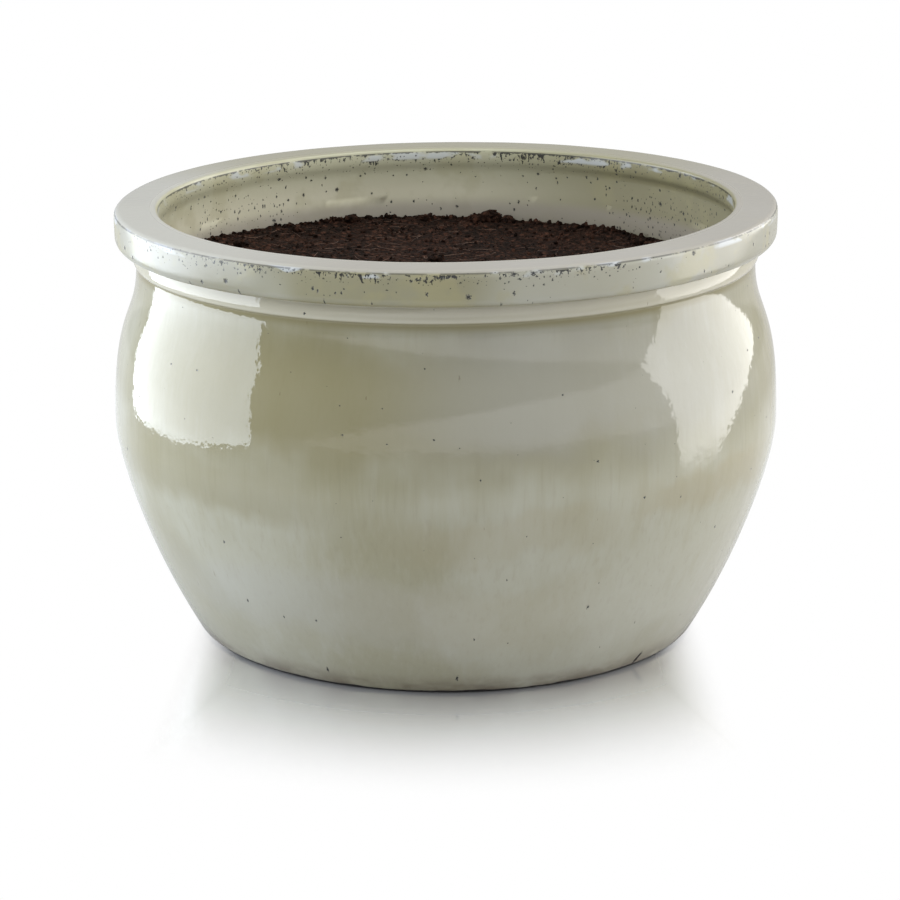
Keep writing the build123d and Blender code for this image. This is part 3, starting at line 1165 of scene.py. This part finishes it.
def glaze_finish():
    """Thick glossy celadon glaze."""
    finish, tree, shader = new_finish("celadon_glaze")
    on = Zones(tree)
    drawn_down = vector_calc(tree, "MULTIPLY", on.place, (1, 1, 0.09))
    wide_streaks = noise(tree, drawn_down, 70, 3, 0.6)
    fine_streaks = noise(tree, drawn_down, 320, 2, 0.6)
    gathered = noise(tree, vector_calc(tree, "MULTIPLY", on.place, (1, 1, 2.2)), 42, 2, 0.5)
    shifted = vector_calc(tree, "ADD", on.flat, (0.37, 0.21, 0))
    ice_and_highlight = ice_glaze_and_highlight(tree, on, gathered)
    pits = glaze_pits(tree, on, shifted)
    marks = either(tree, iron_marks(tree, on, gathered), pits)
    bare_and_shadow = bare_clay_and_contact_shadow(tree, on)
    tails = specks(tree, vector_calc(tree, "MULTIPLY", shifted, (1, 0.22, 1)), 14 * MM, 0.6 * MM, 0.14)
    # Darker and rust-brown towards the ground, in clouds, up to 17 mm above it.
    near_ground_clouds = noise(tree, vector_calc(tree, "MULTIPLY", on.place, (1, 1, 2)), 26, 3, 0.6)
    darker_near_ground = both(tree, fade(tree, on.z, 17 * MM, 1 * MM), fade(tree, near_ground_clouds, 0.3, 0.6), 0.6)

    colour = body_glaze(tree, on, wide_streaks, fine_streaks)
    colour = rim_glaze(tree, on, colour)
    # Pale blue of the thick glaze on the rim's edges, and a painted highlight of the light they reflect.
    colour = tint(tree, both(tree, ice_and_highlight, 0.55), colour, ICE_BLUE_AND_HIGHLIGHT)
    colour = tint(tree, darker_near_ground, colour, RUST)
    colour = tint(tree, both(tree, on.body, tails, 0.4), colour, RUST)
    colour = tint(tree, both(tree, marks, 0.92), colour, INK)
    colour = tint(tree, bare_and_shadow, colour, DARK_CLAY_AND_SHADOW)
    feed(tree, shader.inputs["Base Color"], colour)

    dull_sides = either(tree, toward(tree, on.place, -60, 40, 20), toward(tree, on.place, 58, 42, 18))
    under_lip = fade(tree, on.z, LIP_COVE_Z, LIP_COVE_Z - 4 * MM)
    dull = either(
        tree,
        calc(tree, "MULTIPLY_ADD", noise(tree, on.place, 28, 3, 0.6), 0.05, 0.02),
        both(tree, on.outer_band, 0.12),
        both(tree, dull_sides, on.outer_band, 0.25),
        both(tree, marks, 0.25),
        both(tree, bare_and_shadow, 0.75),
        both(tree, on.inside, 0.3),
        both(tree, on.inside, under_lip, 0.65),
    )
    feed(tree, shader.inputs["Roughness"], dull)

    relief = calc(tree, "MULTIPLY", noise(tree, on.place, 120, 2, 0.5), 0.085 * MM)
    for height, depth in [
        (noise(tree, on.place, 260, 1, 0.5), 0.06 * MM),
        (wide_streaks, 0.006 * MM),
        (ice_and_highlight, 0.05 * MM),
        (pits, -0.25 * MM),
        (bare_and_shadow, -0.4 * MM),
    ]:
        relief = calc(tree, "MULTIPLY_ADD", height, depth, relief)
    feed(tree, shader.inputs["Normal"], dents(tree, relief))
    shader.inputs["IOR"].default_value = 1.52
    return finish


def fired_clay_finish():
    """Bare fired clay on the underside, with the curved marks of the cutting wire."""
    finish, tree, shader = new_finish("fired_clay")
    place = place_on(tree)
    grain = use_effect(tree, EFFECTS["grain"], Place=place, Grain=140.0, Depth=0.5 * MM)
    wire = tree.nodes.new("ShaderNodeTexWave")
    wire.wave_type = "RINGS"
    wire.rings_direction = "Z"
    off_centre = vector_calc(tree, "ADD", place, (0.24, 0.1, 0))
    feed(tree, wire.inputs["Vector"], off_centre)
    feed(tree, wire.inputs["Scale"], 55.0)
    feed(tree, wire.inputs["Distortion"], 2.5)
    feed(tree, wire.inputs["Detail"], 2.0)
    clouds = noise(tree, place, 14, 3, 0.6)
    colour = tint(tree, fade(tree, clouds, 0.35, 0.7), BUFF_CLAY, BROWN_CLAY)
    colour = tint(tree, both(tree, fade(tree, grain["Shade"], 0.5, 0.7), 0.5), colour, PALE_CLAY)
    spots = specks(tree, place, 6 * MM, 0.8 * MM, 0.4)
    colour = tint(tree, both(tree, spots, 0.8), colour, DARK_CLAY_AND_SHADOW)
    _, radius = unrolled(tree, place)
    foot_ring = fade(tree, radius, RECESS_R, RECESS_R + 8 * MM)
    colour = tint(tree, both(tree, foot_ring, 0.35), colour, DARK_CLAY_AND_SHADOW)
    feed(tree, shader.inputs["Base Color"], colour)
    feed(tree, shader.inputs["Roughness"], calc(tree, "MULTIPLY_ADD", grain["Shade"], 0.2, 0.7))
    relief = calc(tree, "ADD", grain["Height"], calc(tree, "MULTIPLY", wire.outputs["Fac"], 0.18 * MM))
    feed(tree, shader.inputs["Normal"], dents(tree, relief))
    return finish


def mix_finish():
    """Damp peaty potting mix, with a painted highlight on its raised grain and painted shade in its low
    grain and between the crumbs.
    """
    finish, tree, shader = new_finish("peaty_mix")
    place = place_on(tree)
    grain = use_effect(tree, EFFECTS["grain"], Place=place, Grain=420.0, Depth=1.5 * MM)
    patches = noise(tree, place, 34, 3, 0.6)
    colour = tint(tree, fade(tree, patches, 0.35, 0.68), PEAT, BROWN_PEAT)
    # Painted highlight on the raised grain.
    colour = tint(tree, both(tree, fade(tree, grain["Shade"], 0.52, 0.72), 0.7), colour, PEAT_HIGHLIGHT)
    # Painted shade in the low grain.
    colour = tint(tree, both(tree, fade(tree, grain["Shade"], 0.46, 0.3), 0.8), colour, PEAT_CAVITY_SHADE)
    flecks = fade(tree, noise(tree, place, 1000, 2, 0.7), 0.58, 0.68)
    colour = tint(tree, both(tree, flecks, 0.5), colour, BARK_FLECK)
    cells = tree.nodes.new("ShaderNodeTexVoronoi")
    feed(tree, cells.inputs["Vector"], place)
    feed(tree, cells.inputs["Scale"], 270.0)
    pale_crumb = fade(tree, split(tree, cells.outputs["Color"])["X"], 0.6, 0.95)
    colour = tint(tree, both(tree, pale_crumb, 0.45), colour, PALE_CRUMB)
    # Painted shade in the gaps between the crumbs, which are also sunk in the relief.
    shaded_gaps = fade(tree, cells.outputs["Distance"], 0.36, 0.62)
    colour = tint(tree, both(tree, shaded_gaps, 0.7), colour, CRUMB_GAP_SHADE)
    feed(tree, shader.inputs["Base Color"], colour)
    feed(tree, shader.inputs["Roughness"], calc(tree, "MULTIPLY_ADD", grain["Shade"], 0.3, 0.66))
    relief = calc(tree, "SUBTRACT", grain["Height"], calc(tree, "MULTIPLY", shaded_gaps, 0.7 * MM))
    feed(tree, shader.inputs["Normal"], dents(tree, relief))
    shader.inputs["Specular IOR Level"].default_value = 0.12
    return finish


def fibre_finish():
    """Dry root fibre, dark to pale along its length."""
    finish, tree, shader = new_finish("dry_fibre")
    place = place_on(tree)
    shade = noise(tree, place, 90, 3, 0.6)
    colour = tint(tree, fade(tree, shade, 0.35, 0.65), DARK_FIBRE, PALE_FIBRE)
    feed(tree, shader.inputs["Base Color"], colour)
    feed(tree, shader.inputs["Roughness"], calc(tree, "MULTIPLY_ADD", shade, 0.2, 0.55))
    return finish


def gravel_finish():
    """Grey and brown river gravel: each pebble's colour comes from where it lies."""
    finish, tree, shader = new_finish("river_gravel")
    place = place_on(tree)
    grain = use_effect(tree, EFFECTS["grain"], Place=place, Grain=420.0, Depth=0.12 * MM)
    stones = noise(tree, place, 75, 0, 0.5)
    colour = tint(tree, fade(tree, stones, 0.38, 0.5), GREY_PEBBLE, PALE_PEBBLE)
    colour = tint(tree, fade(tree, stones, 0.54, 0.62), colour, BROWN_PEBBLE)
    colour = tint(tree, both(tree, fade(tree, grain["Shade"], 0.5, 0.7), 0.5), colour, PEBBLE_GRAIN)
    feed(tree, shader.inputs["Base Color"], colour)
    feed(tree, shader.inputs["Roughness"], calc(tree, "MULTIPLY_ADD", grain["Shade"], 0.3, 0.5))
    feed(tree, shader.inputs["Normal"], dents(tree, grain["Height"]))
    return finish


def mesh_plastic_finish():
    """Dark green moulded plastic with a little lime scale."""
    finish, tree, shader = new_finish("mesh_plastic")
    place = place_on(tree)
    grain = use_effect(tree, EFFECTS["grain"], Place=place, Grain=900.0, Depth=0.03 * MM)
    scale = fade(tree, noise(tree, place, 120, 3, 0.7), 0.58, 0.75)
    colour = tint(tree, both(tree, scale, 0.4), MESH_GREEN, LIME_SCALE)
    feed(tree, shader.inputs["Base Color"], colour)
    feed(tree, shader.inputs["Roughness"], calc(tree, "MULTIPLY_ADD", grain["Shade"], 0.25, 0.38))
    feed(tree, shader.inputs["Normal"], dents(tree, grain["Height"]))
    return finish


def clip_wire_finish():
    """Brown anodised aluminium wire, a little dulled."""
    finish, tree, shader = new_finish("clip_wire")
    place = place_on(tree)
    dulled = noise(tree, place, 260, 3, 0.65)
    colour = tint(tree, fade(tree, dulled, 0.4, 0.7), BROWN_WIRE, DULLED_WIRE)
    feed(tree, shader.inputs["Base Color"], colour)
    feed(tree, shader.inputs["Roughness"], calc(tree, "MULTIPLY_ADD", dulled, 0.35, 0.18))
    shader.inputs["Metallic"].default_value = 1.0
    feed(tree, shader.inputs["Normal"], dents(tree, calc(tree, "MULTIPLY", dulled, 0.04 * MM)))
    return finish


def refinish(prefix, finish):
    """Every CAD node of that kind gets the finish."""
    for name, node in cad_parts.items():
        if name.startswith(prefix):
            node.data.materials.clear()
            node.data.materials.append(finish)


# ---------------------------------------------------------------- the studio

CAMERA_PLACE = Vector((0.0028, -2.060, 0.702))
CAMERA_DOWN = math.radians(15.89)
LENS = 122.9


def set_camera():
    deselect_all()
    bpy.ops.object.camera_add(location=CAMERA_PLACE, rotation=(math.pi / 2 - CAMERA_DOWN, 0, 0))
    camera = named("camera")
    camera.data.lens = LENS
    camera.data.sensor_width = 36
    camera.data.clip_end = 50
    bpy.context.scene.camera = camera


def softbox(name, place, aim, size, radiance, roll=0.0, colour=(0.90, 0.95, 1.0), mirrored=True):
    """A soft light of that width and height, turned towards the aim."""
    deselect_all()
    bpy.ops.object.light_add(type="AREA", location=place)
    light = named(name)
    facing = Vector(aim) - Vector(place)
    light.rotation_euler = facing.to_track_quat("-Z", "Y").to_euler()
    light.rotation_euler.rotate_axis("Z", roll)
    light.data.shape = "RECTANGLE"
    light.data.size, light.data.size_y = size
    light.data.energy = radiance * math.pi * size[0] * size[1]
    light.data.color = colour
    light.visible_camera = False
    light.visible_glossy = mirrored
    return light


# The part of the floor that shows: a soft strip of shade that runs from under the pot to the
# front and the back
FLOOR_NEAR = 0.195  # from the axis to where it starts to fade
FLOOR_FAR = 0.355
FLOOR_HALF_WIDTH = 0.155
FLOOR_SPREAD = 0.04  # how much wider it grows for its length
FLOOR_EDGE = 0.022
SHEET_NEAR = 0.62  # the same for the whole sheet, as the glaze mirrors it
SHEET_FAR = 0.95
SHEET_WHITE = (0.86, 0.86, 0.87)
SHEET_GREY = (0.60, 0.60, 0.60)


def lay_floor():
    """A white sheet that runs out softly away from the pot. The camera sees it as a strip; the
    pot mirrors the whole sheet, a little darker and without the sheen."""
    deselect_all()
    bpy.ops.mesh.primitive_grid_add(x_subdivisions=8, y_subdivisions=8, size=3.2)
    floor = named("white_floor")
    finish = bpy.data.materials.new("white_sheet")
    finish.use_nodes = True
    tree = finish.node_tree
    tree.nodes.clear()
    place = place_on(tree)
    x, y, _ = split(tree, place)
    away = calc(tree, "SQRT", calc(tree, "ADD", both(tree, x, x), both(tree, y, y)))
    beside = calc(tree, "ADD", calc(tree, "ABSOLUTE", x), calc(tree, "MULTIPLY", y, FLOOR_SPREAD))
    beside = fade(tree, beside, FLOOR_HALF_WIDTH - FLOOR_EDGE, FLOOR_HALF_WIDTH + FLOOR_EDGE)
    seen = tree.nodes.new("ShaderNodeLightPath").outputs["Is Camera Ray"]
    matt = tree.nodes.new("ShaderNodeBsdfDiffuse")
    feed(tree, matt.inputs["Color"], tint(tree, seen, SHEET_GREY, SHEET_WHITE))
    shine = tree.nodes.new("ShaderNodeBsdfGlossy")
    shine.inputs["Color"].default_value = (0.95, 0.95, 0.95, 1)
    shine.inputs["Roughness"].default_value = 0.16
    sheet = tree.nodes.new("ShaderNodeMixShader")
    feed(tree, sheet.inputs[0], calc(tree, "MULTIPLY", seen, 0.72))
    tree.links.new(matt.outputs[0], sheet.inputs[1])
    tree.links.new(shine.outputs[0], sheet.inputs[2])
    clear = tree.nodes.new("ShaderNodeBsdfTransparent")
    run_out = tree.nodes.new("ShaderNodeMixShader")
    shown_end = both(tree, seen, either(tree, fade(tree, away, FLOOR_NEAR, FLOOR_FAR), beside))
    feed(tree, run_out.inputs[0], either(tree, fade(tree, away, SHEET_NEAR, SHEET_FAR), shown_end))
    tree.links.new(sheet.outputs[0], run_out.inputs[1])
    tree.links.new(clear.outputs[0], run_out.inputs[2])
    output = tree.nodes.new("ShaderNodeOutputMaterial")
    tree.links.new(run_out.outputs[0], output.inputs["Surface"])
    floor.data.materials.append(finish)


# How bright the room is on its sides
WALL_BEHIND = 0.45
FRONT_LOW = 1.05
FRONT_HIGH = 0.10
OVERHEAD = 0.9
UNDER_FRONT = 0.3
UNDER_BEHIND = 0.7


def blend(tree, share, under, over):
    """Between two strengths: all of the under one at a share of 0, all of the over one at 1."""
    rest = calc(tree, "SUBTRACT", 1.0, share)
    return calc(tree, "ADD", both(tree, rest, under), both(tree, share, over))


def light_room():
    """White all round for the camera; for the planter, a pale wall behind, a dim room in
    front over a bright lower half, a bright ceiling, and a dimmer space under the floor."""
    world = bpy.data.worlds.new("studio")
    bpy.context.scene.world = world
    world.use_nodes = True
    tree = world.node_tree
    tree.nodes.clear()
    way = tree.nodes.new("ShaderNodeTexCoord").outputs["Generated"]
    x, y, z = split(tree, way)
    behind = fade(tree, y, -0.25, 0.15)
    tilted = calc(tree, "SUBTRACT", z, calc(tree, "MULTIPLY", x, 0.27))
    tilted = calc(tree, "ADD", tilted, calc(tree, "MULTIPLY", y, 0.14))
    front = blend(tree, fade(tree, tilted, -0.03, 0.05), FRONT_LOW, FRONT_HIGH)
    walls = blend(tree, behind, front, WALL_BEHIND)
    upper = blend(tree, fade(tree, z, 0.45, 0.85), walls, OVERHEAD)
    under = blend(tree, behind, UNDER_FRONT, UNDER_BEHIND)
    level = blend(tree, fade(tree, z, -0.09, -0.13), upper, under)
    seen = tree.nodes.new("ShaderNodeLightPath").outputs["Is Camera Ray"]
    glow = tree.nodes.new("ShaderNodeBackground")
    feed(tree, glow.inputs["Color"], (1.0, 1.0, 1.0))
    feed(tree, glow.inputs["Strength"], blend(tree, seen, level, 1.0))
    output = tree.nodes.new("ShaderNodeOutputWorld")
    tree.links.new(glow.outputs[0], output.inputs["Surface"])


set_camera()
light_room()
lay_floor()
softbox("left_softbox", (-1.45, 0.28, 0.445), (0, 0.28, 0.445), (1.87, 1.18), 5.4, math.radians(5),
        colour=(0.84, 0.91, 1.0))
softbox("right_softbox", (1.30, 0.52, 0.58), (0, 0.52, 0.58), (1.90, 1.15), 3.5, math.radians(19),
        colour=(0.98, 0.97, 0.95))
softbox("top_softbox", (0, -0.55, 1.9), (0, 0, 0.1), (2.0, 1.6), 1.9, mirrored=False)
softbox("front_fill", (0, -2.2, 1.3), (0, 0, 0.25), (1.6, 1.0), 2.3, mirrored=False)
bpy.context.scene.view_settings.view_transform = "Standard"

throw_pot()
mix = fill_mix()
ground = ground_of(mix)
crumbs = join(scatter_crumbs(ground) + place_clods(ground), "loose_crumbs")
crumbs.data.materials.append(mix.data.materials[0])
smooth(crumbs, 50)
hand_over(crumbs, "potting_mix")
fibres = lay_fibres(ground)
fibres.data.materials.append(fibre_finish())
hand_over(fibres, "potting_mix")
lay_gravel()
refinish("drain_mesh", mesh_plastic_finish())
refinish("mesh_wire", clip_wire_finish())
